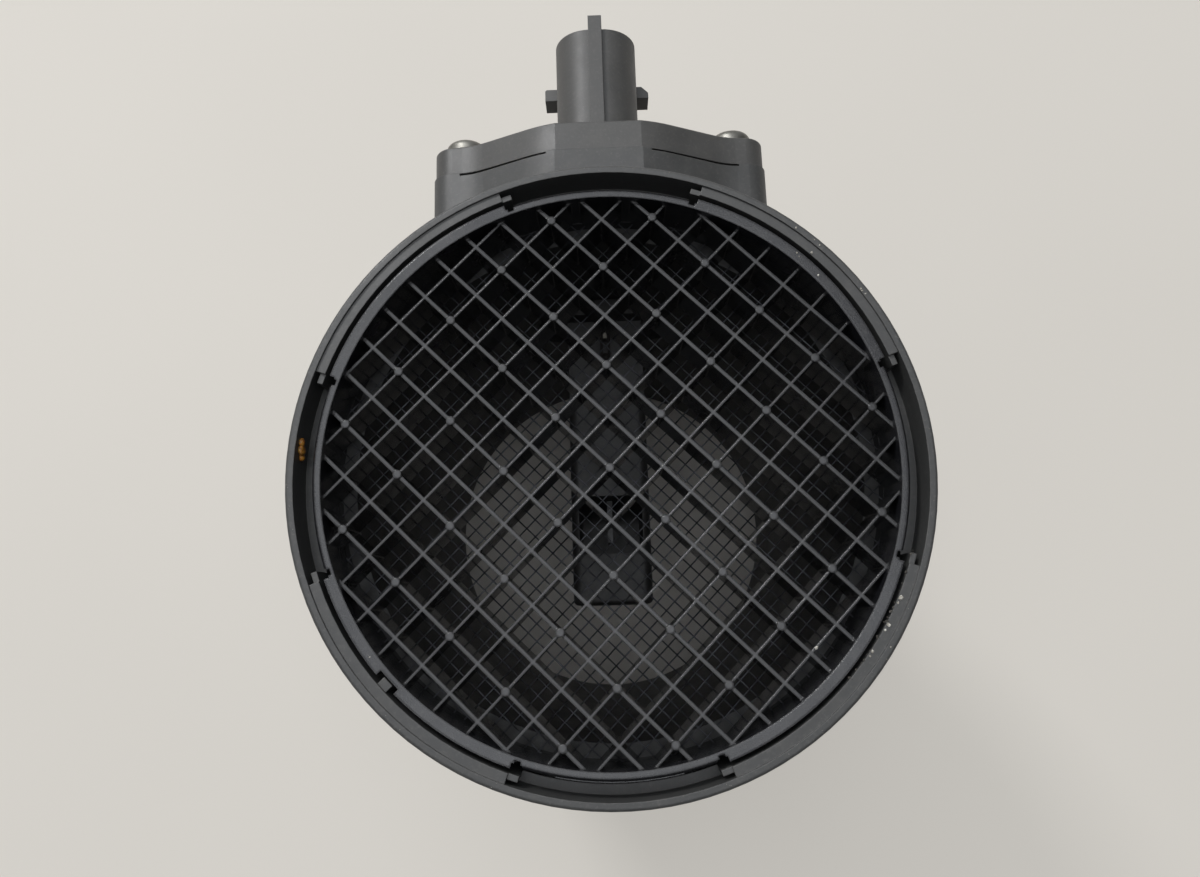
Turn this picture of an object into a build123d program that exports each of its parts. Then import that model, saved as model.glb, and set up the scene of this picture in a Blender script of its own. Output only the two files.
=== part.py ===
from build123d import *
import os
from math import atan2, cos, hypot, isclose, radians, sin, sqrt, tan

# Plug-in hot-film mass airflow sensor in its own duct.
# The duct stands on its outlet end: Z is the duct axis, with the inlet at the top and the
# outlet face at Z = 0.  The plug-in sensor enters from the +Y side.  All sizes in millimetres.

# ---------------------------------------------------------------- driving dimensions: duct
tube_length = 100.0
rim_diameter = 84.0
rim_length = 18.0
rim_wall = 2.4
pocket_shoulder = 4.1
bore_draft = 0.65
tube_wall = 2.9
spigot_length = 22.0
hose_stop_height = 2.6
hose_stop_width = 3.0
lead_in = 1.0
rim_edge_radius = 0.45

# ---------------------------------------------------------------- driving dimensions: inlet grid
grid_pocket_depth = 10.6
grid_ring_gap = 0.6
grid_ring_width = 1.5
grid_ring_drop = 0.45
grid_drop = 1.6
rib_pitch = 4.91
rib_depth = 6.4
fine_rib_width = 0.34
broad_rib_width = 0.5
wire_diameter = 0.2
wire_slack = 0.02
wires_per_cell = 3
screen_groove = 0.5
gate_dot_diameter = 1.15
gate_dot_height = 0.22

# ---------------------------------------------------------------- driving dimensions: snap fit
snap_count = 4
snap_half_angle = 20.0
snap_end_angle = 2.0
rim_skin = 1.1
rim_step = 0.3
snap_recess_depth = 5.0
tongue_thickness = 0.8
tongue_slot = 0.8
bead_radius = 0.58
snap_lug_height = 1.5
snap_lug_half_angle = 12.0
snap_lug_reach = 0.95
snap_window_clearance = 0.35
key_angle = 222.6
key_width = 1.5
key_root = 0.5
key_notch_width = 3.2
key_notch_depth = 0.8
key_drop = 0.8
stop_block_drop = 0.7
stop_block_gap = 0.55

# ---------------------------------------------------------------- driving dimensions: sensor head
sensor_depth = 46.0
head_width = 62.3
head_land = 1.2
head_facet = 15.5
head_shoulder_run = 3.1
head_shoulder_drop = 0.8
head_shoulder_radius = 25.0
head_shoulder_share = 0.9
head_waist = 23.5
head_waist_length = 13.4
head_waist_radius = 12.0
head_end_length = 11.8
head_corner_radius = 4.0
flange_thickness = 5.5
flange_top = 68.2
platform_overhang = 0.3
platform_thickness = 10.0
platform_relief = 0.5
relief_start = 9.5
relief_end = 26.0
neck_clearance = 0.3
neck_margin = 0.825
neck_wall = 3.2
boss_diameter = 9.0
web_thickness = 2.6

# ---------------------------------------------------------------- driving dimensions: connector
connector_width = 15.1
connector_length = 25.2
connector_height = 19.2
connector_flat = 2.5
connector_wall = 1.5
connector_floor = 2.0
key_rib_width = 2.5
key_rib_reach = 1.0
key_rib_rise = 2.2
key_rib_root = 0.5
latch_reach = 2.5
latch_width = 4.2
latch_height = 2.4
latch_drop = 5.3
latch_corner = 0.3
latch_ramp = 1.3
terminal_pitch = 4.0
terminal_count = 5
terminal_width = 1.5
terminal_thickness = 0.6
terminal_exposed = 9.0
terminal_tip = 0.7

# ---------------------------------------------------------------- driving dimensions: sensor finger
finger_width = 13.2
finger_chord = 20.0
finger_tip = -17.2
finger_corner = 1.6
shroud_wall = 1.3
bypass_top = 0.8
bypass_bottom = -8.9
bypass_turn = 4.0
outlet_slot = 5.0
outlet_back_wall = 2.0
bay_top = 31.0
bay_bottom = 4.0
bay_back_wall = 1.6
bay_length = 13.0
bay_floor = -1.6
notch_depth = 4.0
notch_top = 33.0
notch_bottom = 18.0
cover_ledge = 1.0
cover_clearance = 0.1

# ---------------------------------------------------------------- driving dimensions: inner pieces
plate_thickness = 1.0
inner_clearance = 0.15
board_thickness = 0.64
holder_thickness = 0.9
holder_width = 6.0
holder_overlap = 6.0
holder_reach = -6.5
chip_thickness = 0.45
chip_width = 2.6
chip_length = 5.6
control_chip_size = 5.4
control_chip_height = 1.1
capacitor_width = 1.3
capacitor_length = 2.2
capacitor_height = 1.2
bead_thermistor_radius = 0.95
lead_radius = 0.22
lead_spacing = 1.3
lead_embed = 2.0

# ---------------------------------------------------------------- driving dimensions: seal and screws
seal_section = 2.2
seal_slack = 0.03
seal_depth = 5.0
groove_width = 2.7
screw_spread = 25.7
screw_shank = 4.0
screw_grip = 13.0
screw_head = 7.8
screw_head_height = 3.5
screw_head_dome = 1.5
screw_clearance = 0.05
screw_passage = 0.4
drive_core_radius = 1.48
drive_lobe_circle = 1.45
drive_lobe_radius = 0.5
drive_lobes = 6
drive_depth = 1.6
drive_pin = 0.9

# ---------------------------------------------------------------- shared places
rim_radius = rim_diameter / 2
pocket_radius = rim_radius - rim_wall
inlet_radius = pocket_radius - pocket_shoulder
outlet_radius = inlet_radius - bore_draft
body_radius = inlet_radius + tube_wall
spigot_radius = outlet_radius + tube_wall
shoulder_z = tube_length - grid_pocket_depth
recess_radius = rim_radius - rim_skin

ring_outer = pocket_radius - grid_ring_gap
ring_inner = ring_outer - grid_ring_width
ring_top = tube_length - grid_ring_drop
tongue_outer = ring_inner + tongue_thickness
ribs_top = tube_length - grid_drop
ribs_bottom = ribs_top - rib_depth
lug_top = tube_length - snap_recess_depth - snap_window_clearance
lug_bottom = lug_top - snap_lug_height

screen_radius = ring_inner + screen_groove
screen_bottom = ribs_bottom - 2 * (wire_diameter + wire_slack)

half_width = finger_width / 2
half_chord = finger_chord / 2
finger_diagonal = hypot(half_width - finger_corner, half_chord - finger_corner) + finger_corner
neck_radius = finger_diagonal + neck_margin
bore_radius = neck_radius + neck_clearance
head_length = 2 * (bore_radius + head_land)

sensor_z = tube_length - sensor_depth
seat_y = flange_top - flange_thickness
platform_bottom = seat_y - platform_thickness
neck_bottom = inlet_radius + neck_clearance
connector_top = flange_top + connector_height
connector_radius = (connector_width - connector_flat) / 2
socket_floor = flange_top + connector_floor

cover_inner = half_width - shroud_wall
front_z = sensor_z + half_chord
back_z = sensor_z - half_chord
bay_back_z = back_z + bay_back_wall
bay_front_z = bay_back_z + bay_length

# Planes square to the sensor's own axis: local x is X, local y runs downstream.
across = Plane(origin=(0, 0, sensor_z), x_dir=(1, 0, 0), z_dir=(0, 1, 0))
# Planes square to X: local x is Y and local y is Z.
side = Plane.YZ


def polar_point(radius, angle):
    """Point on a circle about the duct axis."""
    return (radius * cos(radians(angle)), radius * sin(radians(angle)))


def sector(inner, outer, start, end):
    """Ring sector about the duct axis, drawn in the current sketch."""
    middle = (start + end) / 2
    with BuildLine() as outline:
        ThreePointArc(polar_point(outer, start), polar_point(outer, middle), polar_point(outer, end))
        Line(polar_point(outer, end), polar_point(inner, end))
        ThreePointArc(polar_point(inner, end), polar_point(inner, middle), polar_point(inner, start))
        Line(polar_point(inner, start), polar_point(outer, start))
    make_face(outline.edges())


def head_outline(overhang):
    """Long outline of the head: flat in the middle, falling to a waist at each round-cornered end."""
    half_facet = head_facet / 2 + overhang / 2
    half_length = head_length / 2 + overhang
    half_head = head_width / 2 + overhang
    half_end = head_end_length / 2 + overhang / 2
    half_waist = head_waist_length / 2 + overhang / 2
    shoulder = half_facet + head_shoulder_run
    half_shoulder = half_length - head_shoulder_drop
    with BuildLine() as outline:
        Polyline(
            (-half_facet, -half_length),
            (half_facet, -half_length),
            (shoulder, -half_shoulder),
            (head_waist, -half_waist),
            (half_head, -half_end),
            (half_head, half_end),
            (head_waist, half_waist),
            (shoulder, half_shoulder),
            (half_facet, half_length),
            (-half_facet, half_length),
            (-shoulder, half_shoulder),
            (-head_waist, half_waist),
            (-half_head, half_end),
            (-half_head, -half_end),
            (-head_waist, -half_waist),
            (-shoulder, -half_shoulder),
            close=True,
        )
    make_face(outline.edges())
    # The shoulder's radius is limited by the short slope that it runs into.
    slope = atan2(head_shoulder_drop, head_shoulder_run)
    turn = atan2(half_shoulder - half_waist, head_waist - shoulder) - slope
    slope_length = hypot(head_shoulder_run, head_shoulder_drop)
    shoulder_limit = head_shoulder_share * slope_length / tan(turn / 2)
    for offset, radius in (
        (shoulder, min(head_shoulder_radius, shoulder_limit)),
        (head_waist, head_waist_radius),
        (half_head, head_corner_radius),
    ):
        corners = vertices().filter_by(lambda corner: isclose(abs(corner.X), offset))
        fillet(corners, radius)


snap_centres = [360 / snap_count * index for index in range(snap_count)]

# ---------------------------------------------------------------- duct
with BuildPart() as tube_housing:
    # Turned outline of the moulded duct: spigots, hose stops and the pocket for the grid.
    rim_bottom = tube_length - rim_length
    inlet_stop_bottom = rim_bottom - hose_stop_width
    outlet_stop_top = spigot_length + hose_stop_width
    with BuildSketch(Plane.XZ):
        with BuildLine():
            Polyline(
                (outlet_radius, 0),
                (spigot_radius, 0),
                (spigot_radius, spigot_length),
                (spigot_radius + hose_stop_height, spigot_length),
                (spigot_radius + hose_stop_height, outlet_stop_top),
                (body_radius, outlet_stop_top),
                (body_radius, inlet_stop_bottom - hose_stop_height),
                (rim_radius + hose_stop_height, inlet_stop_bottom),
                (rim_radius + hose_stop_height, rim_bottom),
                (rim_radius, rim_bottom),
                (rim_radius, tube_length),
                (pocket_radius, tube_length),
                (pocket_radius, shoulder_z),
                (inlet_radius, shoulder_z),
                close=True,
            )
        make_face()
    revolve(axis=Axis.Z)
    # Rounded outer edge of the inlet rim.
    rim_edge = tube_housing.edges().filter_by(GeomType.CIRCLE).group_by(Axis.Z)[-1].sort_by(SortBy.RADIUS)[-1]
    fillet(rim_edge, rim_edge_radius)

    # Head: a thick long platform on a round neck, two screw bosses and a stiffening web.
    with BuildSketch(across.offset(seat_y)):
        head_outline(platform_overhang)
    extrude(amount=-platform_thickness)
    with BuildSketch(across.offset(platform_bottom)):
        Circle(bore_radius + neck_wall)
        with Locations((-screw_spread, 0), (screw_spread, 0)):
            Circle(boss_diameter / 2)
        Rectangle(head_width - boss_diameter, web_thickness)
    extrude(amount=-platform_bottom)
    # The bore is cleared again after the head's columns reach the axis.
    with BuildSketch(Plane.XZ):
        with BuildLine():
            Polyline(
                (0, 0),
                (outlet_radius, 0),
                (inlet_radius, shoulder_z),
                (0, shoulder_z),
                close=True,
            )
        make_face()
    revolve(axis=Axis.Z, mode=Mode.SUBTRACT)

    # Shallow relief under the long sides of the flange.
    with BuildSketch(across.offset(seat_y)):
        head_outline(platform_overhang)
        Rectangle(2 * relief_start, 2 * head_length, mode=Mode.SUBTRACT)
        Rectangle(head_width, head_end_length, mode=Mode.SUBTRACT)
        with Locations((-(relief_end + head_width / 2), 0), (relief_end + head_width / 2, 0)):
            Rectangle(head_width, 2 * head_length, mode=Mode.SUBTRACT)
    extrude(amount=-platform_relief, mode=Mode.SUBTRACT)
    # Round opening for the sensor's neck, with a lead-in for the seal.
    with BuildSketch(across.offset(seat_y)):
        Circle(bore_radius)
    extrude(amount=-seat_y, mode=Mode.SUBTRACT)
    with BuildSketch(across.offset(seat_y)):
        Circle(bore_radius + lead_in)
    extrude(amount=-lead_in, taper=45, mode=Mode.SUBTRACT)
    # Blind holes for the two screws.
    with BuildSketch(across.offset(seat_y)):
        with Locations((-screw_spread, 0), (screw_spread, 0)):
            Circle(screw_shank / 2 + screw_clearance)
    extrude(amount=-(screw_grip + lead_in), mode=Mode.SUBTRACT)

    # Fine step round the inner half of the rim.
    with BuildSketch(Plane.XY.offset(tube_length)):
        Circle(recess_radius)
    extrude(amount=-rim_step, mode=Mode.SUBTRACT)
    # Snap recesses in the rim, with a small stop block left at each end, and below them
    # the windows that hold the grid's lugs.
    with BuildSketch(Plane.XY.offset(tube_length)):
        for centre in snap_centres:
            sector(
                pocket_radius - rim_step,
                recess_radius,
                centre - snap_half_angle,
                centre + snap_half_angle,
            )
    extrude(amount=-stop_block_drop, mode=Mode.SUBTRACT)
    with BuildSketch(Plane.XY.offset(tube_length - stop_block_drop)):
        for centre in snap_centres:
            open_end = snap_half_angle - snap_end_angle
            sector(pocket_radius - rim_step, recess_radius, centre - open_end, centre + open_end)
            block_outer = recess_radius - stop_block_gap
            sector(block_outer, recess_radius, centre - snap_half_angle, centre + snap_half_angle)
    extrude(amount=stop_block_drop - snap_recess_depth, mode=Mode.SUBTRACT)
    window_half_angle = snap_lug_half_angle + snap_end_angle
    with BuildSketch(Plane.XY.offset(lug_top + snap_window_clearance / 2)):
        for centre in snap_centres:
            sector(
                pocket_radius - rim_step,
                ring_outer + snap_lug_reach + snap_window_clearance,
                centre - window_half_angle,
                centre + window_half_angle,
            )
    extrude(amount=-(snap_lug_height + snap_window_clearance), mode=Mode.SUBTRACT)
    # Key on the rim that the grid's notch fits over.
    with BuildSketch(Plane.XY.offset(shoulder_z)):
        with Locations(Location((0, 0, 0), (0, 0, key_angle))):
            with Locations((pocket_radius - grid_ring_gap / 2, 0)):
                Rectangle(grid_ring_gap + 2 * key_root, key_width)
    extrude(amount=grid_pocket_depth - key_drop)
tube_housing.part.label = "tube_housing"

# ---------------------------------------------------------------- flow grid
ribs_each_side = int(ring_inner / rib_pitch)
lattice_turn = Location((0, 0, 0), (0, 0, 45))
rib_span = 2 * (ribs_each_side + 1) * rib_pitch
rib_places = [index * rib_pitch for index in range(-ribs_each_side, ribs_each_side + 1)]
# A gate dot stands on the middle crossing and on every second one from there.
gate_lines = [place for place in rib_places if round(place / rib_pitch) % 2 == 0]
gate_places = [
    (column, row)
    for column in gate_lines
    for row in gate_lines
    if hypot(column, row) < ring_inner - gate_dot_diameter
]

with BuildPart() as flow_grid:
    # Stiff outer ring that stands on the shoulder of the duct.
    with BuildSketch(Plane.XY.offset(shoulder_z)):
        Circle(ring_outer)
        Circle(ring_inner, mode=Mode.SUBTRACT)
    extrude(amount=ring_top - shoulder_z)
    # Thin tongues: the ring is cut back outside them and slotted at their ends.
    with BuildSketch(Plane.XY.offset(ring_top)):
        for centre in snap_centres:
            sector(tongue_outer, ring_outer + rim_step, centre - snap_half_angle, centre + snap_half_angle)
    extrude(amount=-(ring_top - lug_top), mode=Mode.SUBTRACT)
    # Rounded bead along the top of each tongue.
    bead_span = snap_half_angle - snap_end_angle
    for centre in snap_centres:
        with BuildSketch(Plane.XZ.rotated((0, 0, centre - bead_span))):
            with Locations((ring_inner + bead_radius, ring_top - bead_radius)):
                Circle(bead_radius)
        revolve(axis=Axis.Z, revolution_arc=2 * bead_span)
    # Snap lugs on the outside of the tongues.
    with BuildSketch(Plane.XY.offset(lug_bottom)):
        for centre in snap_centres:
            sector(
                ring_outer - rim_step,
                ring_outer + snap_lug_reach,
                centre - snap_lug_half_angle,
                centre + snap_lug_half_angle,
            )
    extrude(amount=snap_lug_height)
    # Slots that free the ends of the tongues.
    with BuildSketch(Plane.XY.offset(ring_top)):
        for centre in snap_centres:
            for turn in (-1, 1):
                slot_angle = centre + turn * (snap_half_angle - snap_end_angle / 2)
                with Locations(Location((0, 0, 0), (0, 0, slot_angle))):
                    with Locations((ring_outer, 0)):
                        Rectangle(2 * (ring_outer - ring_inner) - tongue_thickness, tongue_slot)
    extrude(amount=-(ring_top - ribs_top) - snap_recess_depth, mode=Mode.SUBTRACT)
    # Notch for the key on the rim.
    with BuildSketch(Plane.XY.offset(ring_top)):
        with Locations(Location((0, 0, 0), (0, 0, key_angle))):
            with Locations((ring_outer, 0)):
                Rectangle(2 * key_notch_depth, key_notch_width)
    extrude(amount=-(ring_top - shoulder_z), mode=Mode.SUBTRACT)
    # Crossed ribs: thin ones one way, broader ones the other.
    with BuildSketch(Plane.XY.offset(ribs_bottom)) as ribs:
        with Locations(lattice_turn):
            with Locations([(0, place) for place in rib_places]):
                Rectangle(rib_span, fine_rib_width)
            with Locations([(place, 0) for place in rib_places]):
                Rectangle(broad_rib_width, rib_span)
        Circle(ring_inner + tongue_thickness / 2, mode=Mode.INTERSECT)
    extrude(amount=rib_depth)
    # Groove that holds the edge of the wire screen.
    with BuildSketch(Plane.XY.offset(screen_bottom)):
        Circle(screen_radius + wire_slack)
    extrude(amount=ribs_bottom - screen_bottom, mode=Mode.SUBTRACT)
    # Small round gate dots on every other crossing.
    with BuildSketch(Plane.XY.offset(ribs_top - gate_dot_height)):
        with Locations(lattice_turn):
            with Locations(gate_places):
                Circle(gate_dot_diameter / 2)
    extrude(amount=2 * gate_dot_height)
flow_grid.part.label = "flow_grid"


# ---------------------------------------------------------------- wire screen
# Straight wires in two crossed layers behind the ribs: every third wire lies under a rib.
wire_pitch = rib_pitch / wires_per_cell
wire_count = int(screen_radius / wire_pitch)
wire_places = [
    index * wire_pitch
    for index in range(-wire_count, wire_count + 1)
    if abs(index) * wire_pitch < ring_inner
]
upper_layer = ribs_bottom - wire_slack - wire_diameter / 2
lower_layer = upper_layer - wire_slack - wire_diameter
wires = []
for place in wire_places:
    wire_edge = abs(place) + wire_diameter / 2
    wire = Cylinder(wire_diameter / 2, 2 * sqrt(screen_radius**2 - wire_edge**2))
    wires.append(lattice_turn * Pos(place, 0, upper_layer) * Rot(90, 0, 0) * wire)
    wires.append(lattice_turn * Pos(0, place, lower_layer) * Rot(0, 90, 0) * wire)
with BuildPart() as wire_screen:
    add(wires)
wire_screen.part.label = "wire_screen"

# ---------------------------------------------------------------- electrical pins
terminal_places = [(index - (terminal_count - 1) / 2) * terminal_pitch for index in range(terminal_count)]
terminal_top = socket_floor + terminal_exposed
terminal_foot = bay_top - lead_embed
terminals = []
for place in terminal_places:
    with BuildPart() as terminal:
        with BuildSketch(across.offset(terminal_foot)):
            with Locations((0, place)):
                Rectangle(terminal_thickness, terminal_width)
        extrude(amount=terminal_top - terminal_foot)
        tip_edges = terminal.edges().group_by(Axis.Y)[-1]
        chamfer(tip_edges.filter_by(Axis.X), length=terminal_tip, length2=terminal_tip / 2)
    terminals.append(terminal)
for number, terminal in enumerate(terminals, start=1):
    terminal.part.label = f"terminal_{number}"

# ---------------------------------------------------------------- air temperature sensor
notch_z = front_z - notch_depth / 2
bead_y = (notch_top + notch_bottom) / 2
with BuildPart() as temperature_sensor:
    with BuildSketch(Plane.XZ.offset(-bead_y)):
        with Locations((-lead_spacing / 2, notch_z), (lead_spacing / 2, notch_z)):
            Circle(lead_radius)
    extrude(amount=-(notch_top + lead_embed - bead_y))
    with Locations((0, bead_y, notch_z)):
        Sphere(bead_thermistor_radius)
temperature_sensor.part.label = "temperature_sensor"

# ---------------------------------------------------------------- sensor body
with BuildPart() as sensor_body:
    # Flange.
    with BuildSketch(across.offset(seat_y)):
        head_outline(0)
    extrude(amount=flange_thickness)
    fillet(sensor_body.edges().group_by(Axis.Y)[-1], rim_edge_radius)
    # Round neck with the seal groove.
    with BuildSketch(across.offset(neck_bottom)):
        Circle(neck_radius)
    extrude(amount=seat_y - neck_bottom)
    groove_bottom = seat_y - seal_depth - groove_width
    with BuildSketch(across.offset(groove_bottom)):
        Circle(neck_radius + neck_clearance)
        Circle(bore_radius - seal_section, mode=Mode.SUBTRACT)
    extrude(amount=groove_width, mode=Mode.SUBTRACT)
    # Finger that reaches into the duct.
    with BuildSketch(across.offset(finger_tip)):
        RectangleRounded(finger_width, finger_chord, finger_corner)
    extrude(amount=neck_bottom - finger_tip)
    fillet(sensor_body.edges().group_by(Axis.Y)[0], finger_corner / 2)
    # Connector shell with its key rib and two latch noses.
    with BuildSketch(across.offset(flange_top)):
        RectangleRounded(connector_width, connector_length, connector_radius)
    extrude(amount=connector_height)
    with BuildSketch(across.offset(flange_top - key_rib_root)):
        with Locations((0, -(connector_length + key_rib_reach) / 2 + connector_wall / 2)):
            Rectangle(key_rib_width, key_rib_reach + connector_wall)
    extrude(amount=connector_height + key_rib_rise + key_rib_root)
    with BuildSketch(across.offset(socket_floor)):
        RectangleRounded(
            connector_width - 2 * connector_wall,
            connector_length - 2 * connector_wall,
            connector_radius - connector_wall,
        )
    extrude(amount=connector_height + key_rib_rise, mode=Mode.SUBTRACT)
    latch_top = connector_top - latch_drop
    latch_bottom = latch_top - latch_height
    latch_outer = connector_width / 2 + latch_reach
    # The left nose is a block with a broken corner, and the right one has a ramp.
    for turn, slope in ((-1, latch_corner), (1, latch_ramp)):
        with BuildSketch(Plane.XY.offset(sensor_z - latch_width / 2)):
            with BuildLine():
                Polyline(
                    (turn * (connector_width - connector_wall) / 2, latch_bottom),
                    (turn * latch_outer, latch_bottom),
                    (turn * latch_outer, latch_top - slope),
                    (turn * (latch_outer - slope), latch_top),
                    (turn * (connector_width - connector_wall) / 2, latch_top),
                    close=True,
                )
            make_face()
        extrude(amount=latch_width)
    # Screw passages through the flange.
    with BuildSketch(across.offset(flange_top)):
        with Locations((-screw_spread, 0), (screw_spread, 0)):
            Circle((screw_shank + screw_passage) / 2)
    extrude(amount=-flange_thickness, mode=Mode.SUBTRACT)
    # Notch in the leading edge, where the air temperature sensor hangs.
    with BuildSketch(across.offset(notch_bottom)):
        with Locations((0, notch_depth / 2 - half_chord)):
            Rectangle(finger_width, notch_depth)
    extrude(amount=notch_top - notch_bottom, mode=Mode.SUBTRACT)
    # Bypass channel: in at the leading edge, past the chip, then down and out at the tip.
    outlet_z = back_z + outlet_back_wall
    turn_z = outlet_z + outlet_slot
    with BuildSketch(side.offset(-cover_inner)):
        with BuildLine():
            Line((bypass_top, front_z), (bypass_top, outlet_z + bypass_turn))
            RadiusArc(
                (bypass_top, outlet_z + bypass_turn),
                (bypass_top - bypass_turn, outlet_z),
                bypass_turn,
            )
            Line((bypass_top - bypass_turn, outlet_z), (finger_tip, outlet_z))
            Line((finger_tip, outlet_z), (finger_tip, turn_z))
            Line((finger_tip, turn_z), (bypass_bottom - bypass_turn / 2, turn_z))
            RadiusArc(
                (bypass_bottom - bypass_turn / 2, turn_z),
                (bypass_bottom, turn_z + bypass_turn / 2),
                -bypass_turn / 2,
            )
            Line((bypass_bottom, turn_z + bypass_turn / 2), (bypass_bottom, front_z))
            Line((bypass_bottom, front_z), (bypass_top, front_z))
        make_face()
    extrude(amount=2 * cover_inner, mode=Mode.SUBTRACT)
    # Electronics bay, open on the +X side.
    bay_middle_y = (bay_top + bay_bottom) / 2
    bay_middle_z = (bay_back_z + bay_front_z) / 2
    with BuildSketch(side.offset(bay_floor)):
        with Locations((bay_middle_y, bay_middle_z)):
            Rectangle(bay_top - bay_bottom, bay_length)
    extrude(amount=cover_inner - bay_floor, mode=Mode.SUBTRACT)
    # Stepped openings for the two covers.
    with BuildSketch(side.offset(cover_inner)):
        with Locations((bay_middle_y, bay_middle_z)):
            Rectangle(bay_top - bay_bottom + 2 * cover_ledge, bay_length + 2 * cover_ledge)
    extrude(amount=shroud_wall, mode=Mode.SUBTRACT)
    channel_top = bypass_top + cover_ledge
    channel_bottom = finger_tip + outlet_back_wall
    channel_middle = (channel_top + channel_bottom) / 2
    channel_front = front_z - cover_ledge
    channel_back = outlet_z - cover_ledge
    with BuildSketch(side.offset(cover_inner)):
        with Locations((channel_middle, (channel_front + channel_back) / 2)):
            Rectangle(channel_top - channel_bottom, channel_front - channel_back)
    extrude(amount=shroud_wall, mode=Mode.SUBTRACT)
    # Slot in the partition for the chip holder.
    with BuildSketch(side.offset(bay_floor + plate_thickness)):
        with Locations(((bypass_top + bay_bottom) / 2, sensor_z)):
            Rectangle(bay_bottom - bypass_top, holder_width + 2 * inner_clearance)
    extrude(amount=holder_thickness + inner_clearance, mode=Mode.SUBTRACT)
    # The pins and the temperature sensor's leads are moulded in.
    for terminal in terminals:
        add(terminal.part, mode=Mode.SUBTRACT)
    add(temperature_sensor.part, mode=Mode.SUBTRACT)
sensor_body.part.label = "sensor_body"

# ---------------------------------------------------------------- covers
with BuildPart() as electronics_cover:
    with BuildSketch(side.offset(cover_inner)):
        with Locations((bay_middle_y, bay_middle_z)):
            Rectangle(
                bay_top - bay_bottom + 2 * (cover_ledge - cover_clearance),
                bay_length + 2 * (cover_ledge - cover_clearance),
            )
    extrude(amount=shroud_wall)
electronics_cover.part.label = "electronics_cover"

with BuildPart() as bypass_cover:
    with BuildSketch(side.offset(cover_inner)):
        with Locations((channel_middle, (channel_front + channel_back) / 2)):
            Rectangle(
                channel_top - channel_bottom - 2 * cover_clearance,
                channel_front - channel_back - 2 * cover_clearance,
            )
    extrude(amount=shroud_wall)
bypass_cover.part.label = "bypass_cover"

# ---------------------------------------------------------------- inside the electronics bay
plate_top = bay_floor + plate_thickness
holder_top = bay_bottom + holder_overlap
with BuildPart() as base_plate:
    with BuildSketch(side.offset(bay_floor)):
        with Locations((bay_middle_y, bay_middle_z)):
            Rectangle(bay_top - bay_bottom - 2 * inner_clearance, bay_length - 2 * inner_clearance)
    extrude(amount=plate_thickness)
    for terminal in terminals:
        add(terminal.part, mode=Mode.SUBTRACT)
base_plate.part.label = "base_plate"

board_bottom = holder_top + inner_clearance
board_top = terminal_foot - inner_clearance
board_middle = (board_bottom + board_top) / 2
with BuildPart() as circuit_board:
    with BuildSketch(side.offset(plate_top)):
        with Locations((board_middle, bay_middle_z)):
            Rectangle(board_top - board_bottom, bay_length - 4 * inner_clearance)
    extrude(amount=board_thickness)
circuit_board.part.label = "circuit_board"

board_face = plate_top + board_thickness
with BuildPart() as control_chip:
    with BuildSketch(side.offset(board_face)):
        with Locations((board_middle, sensor_z)):
            Rectangle(control_chip_size, control_chip_size)
    extrude(amount=control_chip_height)
    chamfer(control_chip.edges().group_by(Axis.X)[-1], board_thickness / 4)
control_chip.part.label = "control_chip"

capacitors = []
for turn in (-1, 1):
    with BuildPart() as capacitor:
        with BuildSketch(side.offset(board_face)):
            with Locations((board_middle + turn * control_chip_size, sensor_z - control_chip_size / 2)):
                Rectangle(capacitor_width, capacitor_length)
        extrude(amount=capacitor_height)
    capacitors.append(capacitor)
for number, capacitor in enumerate(capacitors, start=1):
    capacitor.part.label = f"capacitor_{number}"

with BuildPart() as chip_holder:
    with BuildSketch(side.offset(plate_top)):
        with Locations(((holder_reach + holder_top) / 2, sensor_z)):
            Rectangle(holder_top - holder_reach, holder_width)
    extrude(amount=holder_thickness)
    with BuildSketch(side.offset(plate_top + holder_thickness)):
        with Locations((holder_reach + chip_length / 2 + plate_thickness, sensor_z)):
            Rectangle(chip_length, chip_width)
    extrude(amount=-chip_thickness, mode=Mode.SUBTRACT)
chip_holder.part.label = "chip_holder"

with BuildPart() as sensor_chip:
    with BuildSketch(side.offset(plate_top + holder_thickness - chip_thickness)):
        with Locations((holder_reach + chip_length / 2 + plate_thickness, sensor_z)):
            Rectangle(chip_length - inner_clearance, chip_width - inner_clearance)
    extrude(amount=chip_thickness)
sensor_chip.part.label = "sensor_chip"

# ---------------------------------------------------------------- seal ring
seal_radius = (seal_section - seal_slack) / 2
with BuildPart() as o_ring:
    with BuildSketch(Plane.XY.offset(sensor_z)):
        with Locations((bore_radius - seal_section / 2, groove_bottom + groove_width / 2)):
            Circle(seal_radius)
    revolve(axis=Axis((0, 0, sensor_z), (0, 1, 0)))
o_ring.part.label = "o_ring"

# ---------------------------------------------------------------- screws
screws = []
for turn in (-1, 1):
    with BuildPart() as screw:
        with BuildSketch(across.offset(flange_top)):
            with Locations((turn * screw_spread, 0)):
                Circle(screw_head / 2)
        extrude(amount=screw_head_height)
        fillet(screw.edges().group_by(Axis.Y)[-1], screw_head_dome)
        with BuildSketch(across.offset(flange_top)):
            with Locations((turn * screw_spread, 0)):
                Circle(screw_shank / 2)
        extrude(amount=-(flange_thickness + screw_grip))
        chamfer(screw.edges().group_by(Axis.Y)[0], lead_in / 2)
        # Six-lobed drive with a centre pin.
        with BuildSketch(across.offset(flange_top + screw_head_height)):
            with Locations((turn * screw_spread, 0)):
                Circle(drive_core_radius)
                with PolarLocations(drive_lobe_circle, drive_lobes):
                    Circle(drive_lobe_radius)
                Circle(drive_pin / 2, mode=Mode.SUBTRACT)
        extrude(amount=-drive_depth, mode=Mode.SUBTRACT)
    screws.append(screw)
screw_left, screw_right = screws
screw_left.part.label = "screw_left"
screw_right.part.label = "screw_right"

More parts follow.
